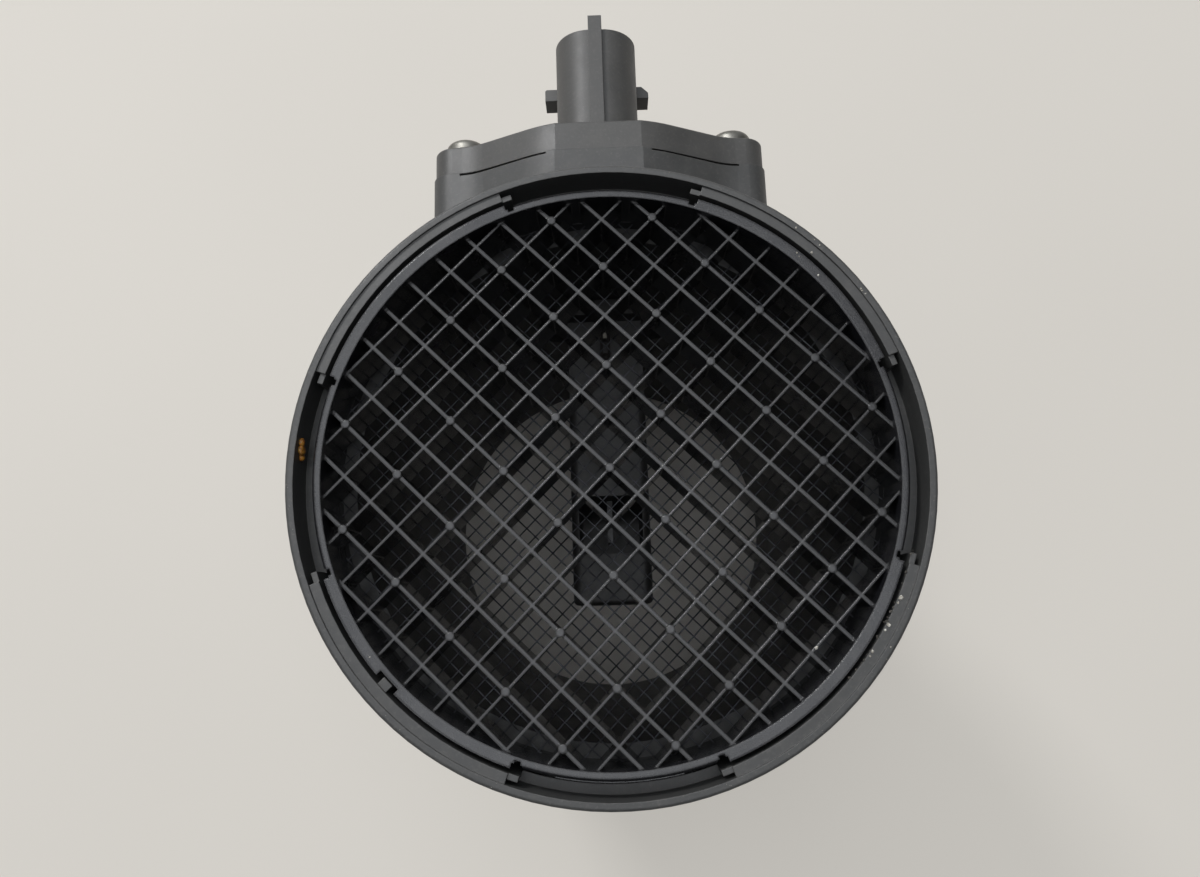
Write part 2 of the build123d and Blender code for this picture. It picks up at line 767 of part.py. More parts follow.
# ---------------------------------------------------------------- files
os.makedirs("parts", exist_ok=True)
for piece in (
    tube_housing,
    flow_grid,
    wire_screen,
    sensor_body,
    bypass_cover,
    electronics_cover,
    base_plate,
    circuit_board,
    control_chip,
    *capacitors,
    chip_holder,
    sensor_chip,
    temperature_sensor,
    o_ring,
    screw_left,
    screw_right,
    *terminals,
):
    export_step(piece.part, f"parts/{piece.part.label}.step")
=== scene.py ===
"""Looks of a plug-in mass airflow sensor: finishes of every moulded and metal piece, dirt and stage.

The file is laid out as a Blender add-on and is run as a script.
"""

import math
import random

import bmesh
import bpy
from bpy.props import FloatProperty, FloatVectorProperty, IntProperty, PointerProperty
from mathutils import Matrix, Vector, noise


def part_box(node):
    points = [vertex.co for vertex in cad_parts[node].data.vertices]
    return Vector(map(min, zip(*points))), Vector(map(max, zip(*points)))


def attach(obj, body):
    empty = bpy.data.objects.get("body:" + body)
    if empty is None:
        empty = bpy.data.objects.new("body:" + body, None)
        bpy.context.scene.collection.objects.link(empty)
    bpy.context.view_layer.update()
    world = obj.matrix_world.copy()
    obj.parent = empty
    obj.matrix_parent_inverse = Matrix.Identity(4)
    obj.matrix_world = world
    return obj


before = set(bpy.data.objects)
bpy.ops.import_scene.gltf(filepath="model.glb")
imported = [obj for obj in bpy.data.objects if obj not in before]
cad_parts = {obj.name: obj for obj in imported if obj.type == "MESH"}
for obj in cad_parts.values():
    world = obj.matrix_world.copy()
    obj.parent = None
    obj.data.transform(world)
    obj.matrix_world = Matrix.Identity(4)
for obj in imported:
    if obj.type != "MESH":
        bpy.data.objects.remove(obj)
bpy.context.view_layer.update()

bl_info = {
    "name": "Mass airflow sensor looks",
    "version": (1, 0, 0),
    "blender": (4, 5, 0),
    "location": "3D View > Sidebar > Airflow",
    "description": "Finishes, dirt and studio stage for a plug-in mass airflow sensor",
    "category": "Object",
}

MM = 0.001
RIM_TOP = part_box("tube_housing")[1].z
RING_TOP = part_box("flow_grid")[1].z
# Places of the duct's and the grid's own details, in millimetres.
RIM_STEP = 0.3
RIB_DROP = 1.15
RIB_PITCH = 4.91
RIB_REACH = 35.0
RING_INSIDE = 37.4
RECESS_WALL = 40.9

# Kinds of node that come up often. The mix takes 0: share, 6: first and 7: second colour, and the
# range takes 0: value, 1 and 2: where it starts and ends, 3 and 4: what it then gives.
NOISE = "ShaderNodeTexNoise"
MIX = "ShaderNodeMix"
RANGE = "ShaderNodeMapRange"
MATHS = "ShaderNodeMath"
VECTORS = "ShaderNodeVectorMath"
BUMP = "ShaderNodeBump"
PRINCIPLED = "ShaderNodeBsdfPrincipled"
OUTPUT = "ShaderNodeOutputMaterial"
RGBA = {"data_type": "RGBA", "result": 2}


def hex_colour(code):
    """Linear RGBA from an sRGB hex code."""
    channels = [int(code[place:place + 2], 16) / 255 for place in (0, 2, 4)]
    linear = [c / 12.92 if c <= 0.04045 else ((c + 0.055) / 1.055) ** 2.4 for c in channels]
    return (*linear, 1.0)


def shaded(colour, share):
    """The same colour with only that share of its light."""
    return (*(share * channel for channel in colour[:3]), 1.0)


def per_mm(size):
    """Texture scale that makes one cell of a pattern that many millimetres wide."""
    return 1 / (size * MM)


def add_node(tree, kind, inputs=None, result=0, **settings):
    """Adds a node, sets its properties, sets or links its inputs, and gives the asked output."""
    node = tree.nodes.new(kind)
    for name, value in settings.items():
        setattr(node, name, value)
    for name, value in (inputs or {}).items():
        if isinstance(value, bpy.types.NodeSocket):
            tree.links.new(value, node.inputs[name])
        else:
            node.inputs[name].default_value = value
    return node.outputs[result] if node.outputs else node


def new_material(name):
    """Empty node material, and the object coordinates that its patterns use."""
    material = bpy.data.materials.new(name)
    material.use_nodes = True
    tree = material.node_tree
    tree.nodes.clear()
    return material, tree, add_node(tree, "ShaderNodeTexCoord", result="Object")


def axis_distance(tree, place):
    """Distance from the duct's axis."""
    level = add_node(tree, VECTORS, {0: place, 1: (1.0, 1.0, 0.0)}, operation="MULTIPLY")
    return add_node(tree, VECTORS, {0: level}, operation="LENGTH", result="Value")


def rounded_edges(tree, radius):
    """Normal that rounds edges over a radius in millimetres, and a mask that is 1 along those edges."""
    rounded = add_node(tree, "ShaderNodeBevel", {"Radius": radius * MM}, samples=4)
    flat = add_node(tree, "ShaderNodeNewGeometry", result="Normal")
    turn = add_node(tree, VECTORS, {0: rounded, 1: flat}, operation="DOT_PRODUCT", result="Value")
    return rounded, add_node(tree, RANGE, {0: turn, 1: 0.985, 2: 0.8})


def give(node_names, material):
    """Puts one material on all slots of the named CAD nodes."""
    for name in node_names:
        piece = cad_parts[name]
        if not piece.material_slots:
            piece.data.materials.append(material)
        for slot in piece.material_slots:
            slot.link = "OBJECT"
            slot.material = material


# ---------------------------------------------------------------- materials
def moulded_pbt(name, plastic, colour, roughness, edge_radius, age=1.0, film_and_painted_shade=0.0):
    """Glass-filled PBT, injection moulded and years in use.

    A satin grey-black that never goes fully dark: glass fibres make the skin faintly mottled,
    the mould gives it a fine grain, edges are rubbed paler and dust greys the faces that look up.
    Within the grid's ring a dark film takes the grey away: an oily film on the grid's ribs, and painted shade
    on the sensor's finger, which hangs deep in the duct.
    """
    material, tree, place = new_material(name)
    flow = add_node(tree, NOISE, {"Vector": place, "Scale": per_mm(7.0), "Detail": 4.0, "Roughness": 0.62})
    fibres = add_node(tree, NOISE, {"Vector": place, "Scale": per_mm(0.55), "Detail": 3.0, "Roughness": 0.7})
    skin = add_node(tree, NOISE, {"Vector": place, "Scale": per_mm(plastic.grain * age), "Detail": 2.0})
    worn_colour = tuple(plastic.worn_colour)
    mottle = add_node(tree, RANGE, {0: flow, 1: 0.32, 2: 0.68})
    body = add_node(tree, MIX, {0: mottle, 6: shaded(colour, 0.82), 7: colour}, **RGBA)
    speckle = add_node(tree, RANGE, {0: fibres, 1: 0.56, 2: 0.8, 3: 0.0, 4: 0.3 * age})
    body = add_node(tree, MIX, {0: speckle, 6: body, 7: worn_colour}, **RGBA)
    # The film, which on the finger is painted shade, lies within the ring of the grid, about the duct axis.
    reach = {1: (RING_INSIDE - 0.3) * MM, 2: (RING_INSIDE + 0.1) * MM, 3: film_and_painted_shade, 4: 0.0}
    film_and_shade_mask = add_node(tree, RANGE, {0: axis_distance(tree, place), **reach})
    body = add_node(tree, MIX, {0: film_and_shade_mask, 6: body, 7: tuple(plastic.film_and_shade_colour)}, **RGBA)
    # Rubbed edges: broken up by noise so that no edge is evenly pale.
    wear = plastic.wear * age
    patchy = add_node(tree, RANGE, {0: flow, 1: 0.4, 2: 0.62, 3: 0.3 * wear, 4: wear})
    rounded, edge_mask = rounded_edges(tree, edge_radius)
    edge = add_node(tree, MATHS, {0: edge_mask, 1: patchy}, operation="MULTIPLY")
    body = add_node(tree, MIX, {0: edge, 6: body, 7: worn_colour}, **RGBA)
    # Dust settles on faces that look up.
    normal = add_node(tree, "ShaderNodeNewGeometry", result="Normal")
    facing = add_node(tree, "ShaderNodeSeparateXYZ", {0: normal}, result="Z")
    settled = add_node(tree, NOISE, {"Vector": place, "Scale": per_mm(2.2), "Detail": 5.0, "Roughness": 0.75})
    upward = add_node(tree, RANGE, {0: facing, 1: 0.3, 2: 1.0})
    patches = add_node(tree, RANGE, {0: settled, 1: 0.42, 2: 0.74, 3: 0.0, 4: plastic.dust * age})
    cover = add_node(tree, MATHS, {0: upward, 1: patches}, operation="MULTIPLY")
    body = add_node(tree, MIX, {0: cover, 6: body, 7: tuple(plastic.dust_colour)}, **RGBA)
    gloss = add_node(tree, RANGE, {0: flow, 1: 0.3, 2: 0.7, 3: roughness - 0.06, 4: roughness + 0.08})
    grain = {"Strength": 0.35, "Distance": 0.03 * MM, "Height": skin}
    relief = add_node(tree, BUMP, {**grain, "Normal": rounded})
    shader = add_node(
        tree, PRINCIPLED, {"Base Color": body, "Roughness": gloss, "IOR": 1.57, "Normal": relief}
    )
    add_node(tree, OUTPUT, {"Surface": shader})
    return material


def drawn_wire(name, colour, soot_colour):
    """Fine drawn steel wire, dulled by oil mist and soot.

    A dark wire that still throws a thin glint along its length where the soot is thin.
    """
    material, tree, place = new_material(name)
    soot = add_node(tree, NOISE, {"Vector": place, "Scale": per_mm(3.5), "Detail": 5.0, "Roughness": 0.7})
    sooted = add_node(tree, RANGE, {0: soot, 1: 0.4, 2: 0.66})
    body = add_node(tree, MIX, {0: sooted, 6: colour, 7: soot_colour}, **RGBA)
    dull = add_node(tree, RANGE, {0: soot, 1: 0.35, 2: 0.7, 3: 0.34, 4: 0.62})
    draw_marks = add_node(tree, NOISE, {"Vector": place, "Scale": per_mm(0.12), "Detail": 1.0})
    relief = add_node(tree, BUMP, {"Strength": 0.3, "Distance": 0.01 * MM, "Height": draw_marks})
    shader = add_node(
        tree, PRINCIPLED, {"Base Color": body, "Metallic": 0.75, "Roughness": dull, "Normal": relief}
    )
    add_node(tree, OUTPUT, {"Surface": shader})
    return material


def plated_metal(name, colour, stain_colour, roughness, lay, lay_strength):
    """Plated or bare stamped metal.

    Clean metal sheen with cloudy stains from handling, and a fine tool lay that streaks the gloss.
    """
    material, tree, place = new_material(name)
    cloud = add_node(tree, NOISE, {"Vector": place, "Scale": per_mm(4.0), "Detail": 5.0, "Roughness": 0.65})
    streaks = add_node(tree, "ShaderNodeMapping", {"Vector": place, "Scale": (1.0, 12.0, 1.0)})
    tool_lay = add_node(tree, NOISE, {"Vector": streaks, "Scale": per_mm(lay), "Detail": 2.0})
    stained = add_node(tree, RANGE, {0: cloud, 1: 0.45, 2: 0.75})
    body = add_node(tree, MIX, {0: stained, 6: colour, 7: stain_colour}, **RGBA)
    dull = add_node(tree, RANGE, {0: tool_lay, 1: 0.3, 2: 0.7, 3: roughness - 0.07, 4: roughness + 0.1})
    relief = add_node(tree, BUMP, {"Strength": lay_strength, "Distance": 0.02 * MM, "Height": tool_lay})
    shader = add_node(
        tree, PRINCIPLED, {"Base Color": body, "Metallic": 1.0, "Roughness": dull, "Normal": relief}
    )
    add_node(tree, OUTPUT, {"Surface": shader})
    return material


def moulded_nitrile(name, colour, bloom_colour):
    """Nitrile rubber, compression moulded.

    Soft matte black with the faint grey bloom that old rubber gets.
    """
    material, tree, place = new_material(name)
    bloom = add_node(tree, NOISE, {"Vector": place, "Scale": per_mm(1.8), "Detail": 5.0, "Roughness": 0.7})
    bloomed = add_node(tree, RANGE, {0: bloom, 1: 0.45, 2: 0.75, 3: 0.0, 4: 0.6})
    body = add_node(tree, MIX, {0: bloomed, 6: colour, 7: bloom_colour}, **RGBA)
    relief = add_node(tree, BUMP, {"Strength": 0.3, "Distance": 0.02 * MM, "Height": bloom})
    shader = add_node(
        tree, PRINCIPLED, {"Base Color": body, "Roughness": 0.72, "IOR": 1.52, "Normal": relief}
    )
    add_node(tree, OUTPUT, {"Surface": shader})
    return material


def printed_ceramic(name, colour, track_colour):
    """Fired alumina board with printed conductor tracks.

    Chalky off-white with a grid of dull silver tracks 0.4 mm wide.
    """
    material, tree, place = new_material(name)
    # The board lies square to X, so its tracks run over Y and Z.
    turned = add_node(
        tree, "ShaderNodeMapping", {"Vector": place, "Rotation": (0.0, math.radians(90), 0.0)}
    )
    layout = {"Scale": 1.0, "Mortar Size": 0.2 * MM, "Brick Width": 2.4 * MM, "Row Height": 1.3 * MM}
    tracks = add_node(tree, "ShaderNodeTexBrick", {"Vector": turned, **layout}, result="Fac")
    grit = add_node(tree, NOISE, {"Vector": place, "Scale": per_mm(0.3), "Detail": 3.0})
    gritty = add_node(tree, RANGE, {0: grit, 1: 0.4, 2: 0.7})
    body = add_node(tree, MIX, {0: gritty, 6: colour, 7: shaded(colour, 0.86)}, **RGBA)
    body = add_node(tree, MIX, {0: tracks, 6: body, 7: track_colour}, **RGBA)
    relief = add_node(tree, BUMP, {"Strength": 0.4, "Distance": 0.02 * MM, "Height": tracks})
    shader = add_node(
        tree, PRINCIPLED, {"Base Color": body, "Roughness": 0.55, "IOR": 1.76, "Normal": relief}
    )
    add_node(tree, OUTPUT, {"Surface": shader})
    return material


def hard_skin(name, colour, cloud_colour, cloud_size, roughness, ior, coat=0.0):
    """Hard smooth skin: moulded or dipped epoxy, or polished silicon.

    A plain highlight, tight on the silicon and soft on the epoxy, over a tone that drifts slowly.
    """
    material, tree, place = new_material(name)
    cloud = add_node(tree, NOISE, {"Vector": place, "Scale": per_mm(cloud_size), "Detail": 3.0})
    drift = add_node(tree, RANGE, {0: cloud, 1: 0.35, 2: 0.65})
    body = add_node(tree, MIX, {0: drift, 6: colour, 7: cloud_colour}, **RGBA)
    dull = add_node(tree, RANGE, {0: cloud, 1: 0.3, 2: 0.7, 3: roughness - 0.04, 4: roughness + 0.06})
    shader = add_node(
        tree, PRINCIPLED, {"Base Color": body, "Roughness": dull, "IOR": ior, "Coat Weight": coat}
    )
    add_node(tree, OUTPUT, {"Surface": shader})
    return material


def loose_grit(name, colour, shade_colour):
    """Road grit and shell dust caught in the gaps.

    Chalky, sharp-sided and matte, so each grain reads as one pale point.
    """
    material, tree, place = new_material(name)
    facets = add_node(tree, "ShaderNodeTexVoronoi", {"Vector": place, "Scale": per_mm(0.3)})
    chipped = add_node(tree, RANGE, {0: facets, 1: 0.1, 2: 0.6})
    body = add_node(tree, MIX, {0: chipped, 6: colour, 7: shade_colour}, **RGBA)
    relief = add_node(tree, BUMP, {"Strength": 0.6, "Distance": 0.05 * MM, "Height": facets})
    shader = add_node(
        tree, PRINCIPLED, {"Base Color": body, "Roughness": 0.85, "IOR": 1.5, "Normal": relief}
    )
    add_node(tree, OUTPUT, {"Surface": shader})
    return material


def dried_resin(name, colour, deep_colour):
    """Tree resin or old sealant, dried to a drop.

    Honey-coloured and glossy, darker where it is thick.
    """
    material, tree, place = new_material(name)
    cloud = add_node(tree, NOISE, {"Vector": place, "Scale": per_mm(0.5), "Detail": 3.0})
    thick = add_node(tree, RANGE, {0: cloud, 1: 0.4, 2: 0.62})
    body = add_node(tree, MIX, {0: thick, 6: colour, 7: deep_colour}, **RGBA)
    relief = add_node(tree, BUMP, {"Strength": 0.5, "Distance": 0.08 * MM, "Height": cloud})
    depth = {"Subsurface Weight": 0.25, "Subsurface Scale": 0.3 * MM}
    shader = add_node(
        tree, PRINCIPLED, {"Base Color": body, "Roughness": 0.35, "IOR": 1.53, **depth, "Normal": relief}
    )
    add_node(tree, OUTPUT, {"Surface": shader})
    return material


# ---------------------------------------------------------------- settings
class PlasticSettings(bpy.types.PropertyGroup):
    """Sizes and colours of the moulded plastic."""

    duct_colour: FloatVectorProperty(
        name="Duct colour",
        description="Colour of the moulded duct",
        subtype="COLOR",
        size=4,
        default=hex_colour("424241"),
    )
    grid_colour: FloatVectorProperty(
        name="Grid colour",
        description="Colour of the snap-in inlet grid",
        subtype="COLOR",
        size=4,
        default=hex_colour("202023"),
    )
    sensor_colour: FloatVectorProperty(
        name="Sensor colour",
        description="Colour of the plug-in head, connector and finger",
        subtype="COLOR",
        size=4,
        default=hex_colour("494846"),
    )
    worn_colour: FloatVectorProperty(
        name="Worn colour",
        description="Colour of edges that have been rubbed",
        subtype="COLOR",
        size=4,
        default=hex_colour("73716D"),
    )
    dust_colour: FloatVectorProperty(
        name="Dust colour",
        description="Colour of the settled dust",
        subtype="COLOR",
        size=4,
        default=hex_colour("65625D"),
    )
    # Colour of the dark film on the ribs, and of the painted shade on the finger.
    film_and_shade_colour: FloatVectorProperty(
        name="Film colour",
        description="Colour of the dark oily film inside the duct",
        subtype="COLOR",
        size=4,
        default=hex_colour("141416"),
    )
    lattice_film: FloatProperty(
        name="Lattice film",
        description="How much dark film lies on the grid's ribs",
        subtype="FACTOR",
        default=0.96,
        min=0.0,
        max=1.0,
    )
    # Painted shade: how far the finger, deep in the duct where less light reaches, is darkened.
    finger_painted_shade: FloatProperty(
        name="Finger film",
        description="How much dark film lies on the sensor's finger",
        subtype="FACTOR",
        default=0.6,
        min=0.0,
        max=1.0,
    )
    grain: FloatProperty(
        name="Mould grain",
        description="Width of one grain of the mould's texture, in millimetres",
        default=0.35,
        min=0.1,
        max=2.0,
    )
    edge_radius: FloatProperty(
        name="Edge radius",
        description="Radius of the moulded edges, in millimetres",
        default=0.2,
        min=0.01,
        max=1.0,
    )
    rib_radius: FloatProperty(
        name="Rib radius",
        description="Radius of the grid's edges and rib tops, in millimetres",
        default=0.38,
        min=0.01,
        max=1.0,
    )
    wear: FloatProperty(
        name="Wear",
        description="How pale the rubbed edges are",
        subtype="FACTOR",
        default=0.5,
        min=0.0,
        max=1.0,
    )
    dust: FloatProperty(
        name="Dust",
        description="How much dust lies on faces that look up",
        subtype="FACTOR",
        default=0.2,
        min=0.0,
        max=1.0,
    )
    roughness: FloatProperty(
        name="Roughness",
        description="Roughness of the moulded skin",
        subtype="FACTOR",
        default=0.5,
        min=0.05,
        max=1.0,
    )
    grid_roughness: FloatProperty(
        name="Grid roughness",
        description="Roughness of the inlet grid, whose mould is polished",
        subtype="FACTOR",
        default=0.22,
        min=0.05,
        max=1.0,
    )


class MetalSettings(bpy.types.PropertyGroup):
    """Colours of the metal, rubber and ceramic pieces."""

    wire_colour: FloatVectorProperty(
        name="Wire colour",
        description="Colour of the clean screen wire",
        subtype="COLOR",
        size=4,
        default=hex_colour("55565A"),
    )
    zinc_colour: FloatVectorProperty(
        name="Zinc colour",
        description="Colour of the plated screws",
        subtype="COLOR",
        size=4,
        default=hex_colour("8C8A84"),
    )
    tin_colour: FloatVectorProperty(
        name="Tin colour",
        description="Colour of the tinned blades",
        subtype="COLOR",
        size=4,
        default=hex_colour("7A766E"),
    )
    aluminium_colour: FloatVectorProperty(
        name="Aluminium colour",
        description="Colour of the stamped base plate",
        subtype="COLOR",
        size=4,
        default=hex_colour("D9DADB"),
    )
    ceramic_colour: FloatVectorProperty(
        name="Ceramic colour",
        description="Colour of the circuit board",
        subtype="COLOR",
        size=4,
        default=hex_colour("E3E0D6"),
    )
    rubber_colour: FloatVectorProperty(
        name="Rubber colour",
        description="Colour of the seal ring",
        subtype="COLOR",
        size=4,
        default=hex_colour("262626"),
    )


class DirtSettings(bpy.types.PropertyGroup):
    """Sizes and colours of the dirt."""

    grit_colour: FloatVectorProperty(
        name="Grit colour",
        description="Colour of the pale grit",
        subtype="COLOR",
        size=4,
        default=hex_colour("E8E5DC"),
    )
    resin_colour: FloatVectorProperty(
        name="Resin colour",
        description="Colour of the dried amber drop",
        subtype="COLOR",
        size=4,
        default=hex_colour("B98438"),
    )
    packed_colour: FloatVectorProperty(
        name="Packed dust colour",
        description="Colour of the dust packed in the gap round the grid",
        subtype="COLOR",
        size=4,
        default=hex_colour("5D5A53"),
    )
    fine_colour: FloatVectorProperty(
        name="Fine dust colour",
        description="Colour of the fine specks",
        subtype="COLOR",
        size=4,
        default=hex_colour("B5B1A8"),
    )
    crumb_count: IntProperty(
        name="Crumbs",
        description="How many crumbs are packed in the gap round the grid",
        default=60,
        min=0,
        max=200,
    )
    speck_count: IntProperty(
        name="Specks",
        description="How many fine specks lie on the rim, and again on the ribs",
        default=70,
        min=0,
        max=400,
    )


class StageSettings(bpy.types.PropertyGroup):
    """Sizes and colours of the floor, lamps and camera."""

    floor_colour: FloatVectorProperty(
        name="Floor colour",
        description="Colour of the pale floor",
        subtype="COLOR",
        size=4,
        default=hex_colour("DCD7CF"),
    )
    floor_radius: FloatProperty(
        name="Floor radius",
        description="Radius of the round floor",
        subtype="DISTANCE",
        unit="LENGTH",
        default=4.0,
        min=0.5,
    )
    plain_share: FloatProperty(
        name="Plain share",
        description="Share of the floor that looks lit however deep the shade is",
        subtype="FACTOR",
        default=0.5,
        min=0.0,
        max=1.0,
    )
    ceiling_power: FloatProperty(
        name="Ceiling lamp",
        description="Power of the large soft lamp overhead, which shines down the duct",
        unit="POWER",
        default=8.5,
        min=0.0,
    )
    window_power: FloatProperty(
        name="Window lamp",
        description="Power of the broad slanting light at the upper left",
        unit="POWER",
        default=3.0,
        min=0.0,
    )
    spot_power: FloatProperty(
        name="Spot lamp",
        description="Power of the small lamp at the upper left, which draws the glints",
        unit="POWER",
        default=4.2,
        min=0.0,
    )
    sky_strength: FloatProperty(
        name="Room light",
        description="Strength of the even light of the room",
        default=0.33,
        min=0.0,
    )
    focal_length: FloatProperty(
        name="Focal length",
        description="Focal length of the camera, in millimetres",
        default=26.41,
        min=5.0,
    )
    camera_place: FloatVectorProperty(
        name="Camera place",
        description="Where the camera stands",
        subtype="TRANSLATION",
        unit="LENGTH",
        size=3,
        default=(-0.000393, -0.018596, 0.211679),
    )
    camera_tilt: FloatProperty(
        name="Camera tilt",
        description="Angle between the view and straight down, towards the head",
        subtype="ANGLE",
        default=math.radians(11.233),
    )
    camera_yaw: FloatProperty(
        name="Camera yaw",
        description="Angle of the view to the left of the duct axis",
        subtype="ANGLE",
        default=math.radians(0.392),
    )
    camera_roll: FloatProperty(
        name="Camera roll",
        description="Clockwise turn of the camera about its view",
        subtype="ANGLE",
        default=math.radians(1.798),
    )


# ---------------------------------------------------------------- finishes
class AIRFLOW_OT_duct(bpy.types.Operator):
    """Moulded finish of the duct"""

    bl_idname = "airflow.duct"
    bl_label = "Duct"

    def execute(self, context):
        plastic = context.scene.airflow_plastic
        colour = tuple(plastic.duct_colour)
        duct = moulded_pbt("pbt_moulded_duct", plastic, colour, plastic.roughness, plastic.edge_radius)
        give(["tube_housing"], duct)
        return {"FINISHED"}


class AIRFLOW_OT_grid(bpy.types.Operator):
    """Moulded finish of the inlet grid, darker and smoother than the duct"""

    bl_idname = "airflow.grid"
    bl_label = "Inlet grid"

    def execute(self, context):
        plastic = context.scene.airflow_plastic
        lattice = moulded_pbt(
            "pbt_moulded_grid",
            plastic,
            tuple(plastic.grid_colour),
            plastic.grid_roughness,
            plastic.rib_radius,
            age=0.5,
            film_and_painted_shade=plastic.lattice_film,
        )
        give(["flow_grid"], lattice)
        return {"FINISHED"}


class AIRFLOW_OT_sensor(bpy.types.Operator):
    """Moulded finish of the plug-in head, its finger and the two covers, with painted shade on the finger and
    covers inside the duct
    """

    bl_idname = "airflow.sensor"
    bl_label = "Plug-in sensor"

    def execute(self, context):
        plastic = context.scene.airflow_plastic
        skin = moulded_pbt(
            "pbt_moulded_sensor",
            plastic,
            tuple(plastic.sensor_colour),
            plastic.roughness,
            plastic.edge_radius,
            # Painted shade: the finger and covers inside the duct are darkened because they hang deep in it
            # and get less light.
            film_and_painted_shade=plastic.finger_painted_shade,
        )
        give(["sensor_body", "bypass_cover", "electronics_cover"], skin)
        return {"FINISHED"}


class AIRFLOW_OT_screen(bpy.types.Operator):
    """Sooted wire finish of the fine screen"""

    bl_idname = "airflow.screen"
    bl_label = "Wire screen"

    def execute(self, context):
        metal = context.scene.airflow_metal
        wire = drawn_wire("steel_wire_drawn", tuple(metal.wire_colour), hex_colour("29292B"))
        give(["wire_screen"], wire)
        return {"FINISHED"}


class AIRFLOW_OT_fasteners(bpy.types.Operator):
    """Plated, tinned and rubber pieces: screws, blades and seal ring"""

    bl_idname = "airflow.fasteners"
    bl_label = "Screws, blades and seal"

    def execute(self, context):
        metal = context.scene.airflow_metal
        zinc_colour, tin_colour = tuple(metal.zinc_colour), tuple(metal.tin_colour)
        zinc = plated_metal(
            "steel_zinc_plated",
            zinc_colour,
            hex_colour("55524C"),
            roughness=0.45,
            lay=0.25,
            lay_strength=0.25,
        )
        tin = plated_metal(
            "bronze_tinned",
            tin_colour,
            hex_colour("5A554C"),
            roughness=0.42,
            lay=0.2,
            lay_strength=0.15,
        )
        rubber = moulded_nitrile("nitrile_moulded", tuple(metal.rubber_colour), hex_colour("5B5A57"))
        give(["screw_left", "screw_right"], zinc)
        give([f"terminal_{number}" for number in range(1, 6)], tin)
        give(["o_ring"], rubber)
        return {"FINISHED"}


class AIRFLOW_OT_electronics(bpy.types.Operator):
    """Ceramic, silicon, epoxy and aluminium pieces inside the finger"""

    bl_idname = "airflow.electronics"
    bl_label = "Electronics"

    def execute(self, context):
        metal = context.scene.airflow_metal
        stamped = plated_metal(
            "aluminium_stamped",
            tuple(metal.aluminium_colour),
            hex_colour("A9AAAB"),
            roughness=0.36,
            lay=0.3,
            lay_strength=0.3,
        )
        ceramic = printed_ceramic("alumina_printed", tuple(metal.ceramic_colour), hex_colour("9D9A90"))
        epoxy = hard_skin(
            "epoxy_moulded",
            hex_colour("1E1E20"),
            hex_colour("2B2B2C"),
            cloud_size=0.8,
            roughness=0.42,
            ior=1.55,
        )
        wafer = hard_skin(
            "silicon_polished",
            hex_colour("4A4E5C"),
            hex_colour("5A5470"),
            cloud_size=1.6,
            roughness=0.12,
            ior=3.0,
            coat=0.2,
        )
        bead = hard_skin(
            "epoxy_dipped",
            hex_colour("1F1C1A"),
            hex_colour("2C2622"),
            cloud_size=0.7,
            roughness=0.7,
            ior=1.5,
        )
        give(["base_plate"], stamped)
        give(["circuit_board", "capacitor_1", "capacitor_2"], ceramic)
        give(["control_chip", "chip_holder"], epoxy)
        give(["sensor_chip"], wafer)
        give(["temperature_sensor"], bead)
        return {"FINISHED"}


# ---------------------------------------------------------------- dirt
# Larger pale grains, each as its angle about the duct in degrees, its radius and its size in millimetres.
STEP_CRUMBS = (
    (-26.6, 39.9, 0.62),
    (-27.6, 39.8, 0.34),
    (-31.9, 39.9, 0.52),
    (-33.0, 39.8, 0.34),
    (-37.5, 39.8, 0.5),
    (-38.4, 39.9, 0.28),
    (45.1, 39.9, 0.34),
)
RIM_SPECKS = (
    (50.4, 41.2, 0.3),
    (46.3, 41.4, 0.2),
    (44.9, 41.3, 0.26),
    (33.6, 41.1, 0.3),
    (33.2, 41.1, 0.26),
    (32.4, 41.2, 0.22),
    (-35.1, 41.3, 0.2),
)
RING_SPECKS = ((41.0, 38.2, 0.26), (47.2, 38.6, 0.3), (46.4, 38.4, 0.2), (-143.0, 38.3, 0.22))
# Lobes of the amber drop: angle, height above the rim, width and length.
RESIN_LOBES = ((173.5, -1.6, 0.75, 1.15), (174.8, -1.9, 0.95, 1.6), (176.0, -2.2, 0.75, 1.1))
RIB_SPECK_TURN = -43.4
RIB_SPECK_RADIUS = 34.4
RIB_SPECK_SIZE = 0.5
# Crumbs packed in the gap: mean and spread of their angle, then ranges of radius, depth and size.
CRUMB_TURN = (-33, 6)
CRUMB_RADII = (39.35, 40.0)
CRUMB_DEPTHS = (0, 0.5)
CRUMB_SIZES = (0.14, 0.42)
# Fine specks: range of radius on the rim, and of size on the rim and on the ribs.
RIM_SPECK_RADII = (41.0, 41.7)
RIM_SPECK_SIZES = (0.05, 0.13)
RIB_SPECK_SIZES = (0.06, 0.16)
RIB_LINES = 6
GRIT_SEED = 5
DUST_SEED = 11
# Shape of a grain: lumps across it, how far they swell, how flat it lies and how deep it is pressed.
GRAIN_LUMPS = 2.2
GRAIN_SWELL = 0.7
GRAIN_FLATNESS = 0.6
GRAIN_SINK = 0.2
# The amber drop: how far its lobes stand off the wall, how far they swell and how wide a swell is.
RESIN_STAND = 0.25
RESIN_SWELL = 0.35
RESIN_LUMP = 0.6


def grain_shape(size, seed):
    """Mesh of one angular grain about size across, flattened as it lies."""
    shape = bmesh.new()
    bmesh.ops.create_icosphere(shape, subdivisions=1, radius=size / 2)
    for corner in shape.verts:
        shift = noise.noise(corner.co * (GRAIN_LUMPS / size) + Vector((seed, 2 * seed, -seed)))
        corner.co *= 1 + GRAIN_SWELL * shift
        corner.co.z *= GRAIN_FLATNESS
    return shape


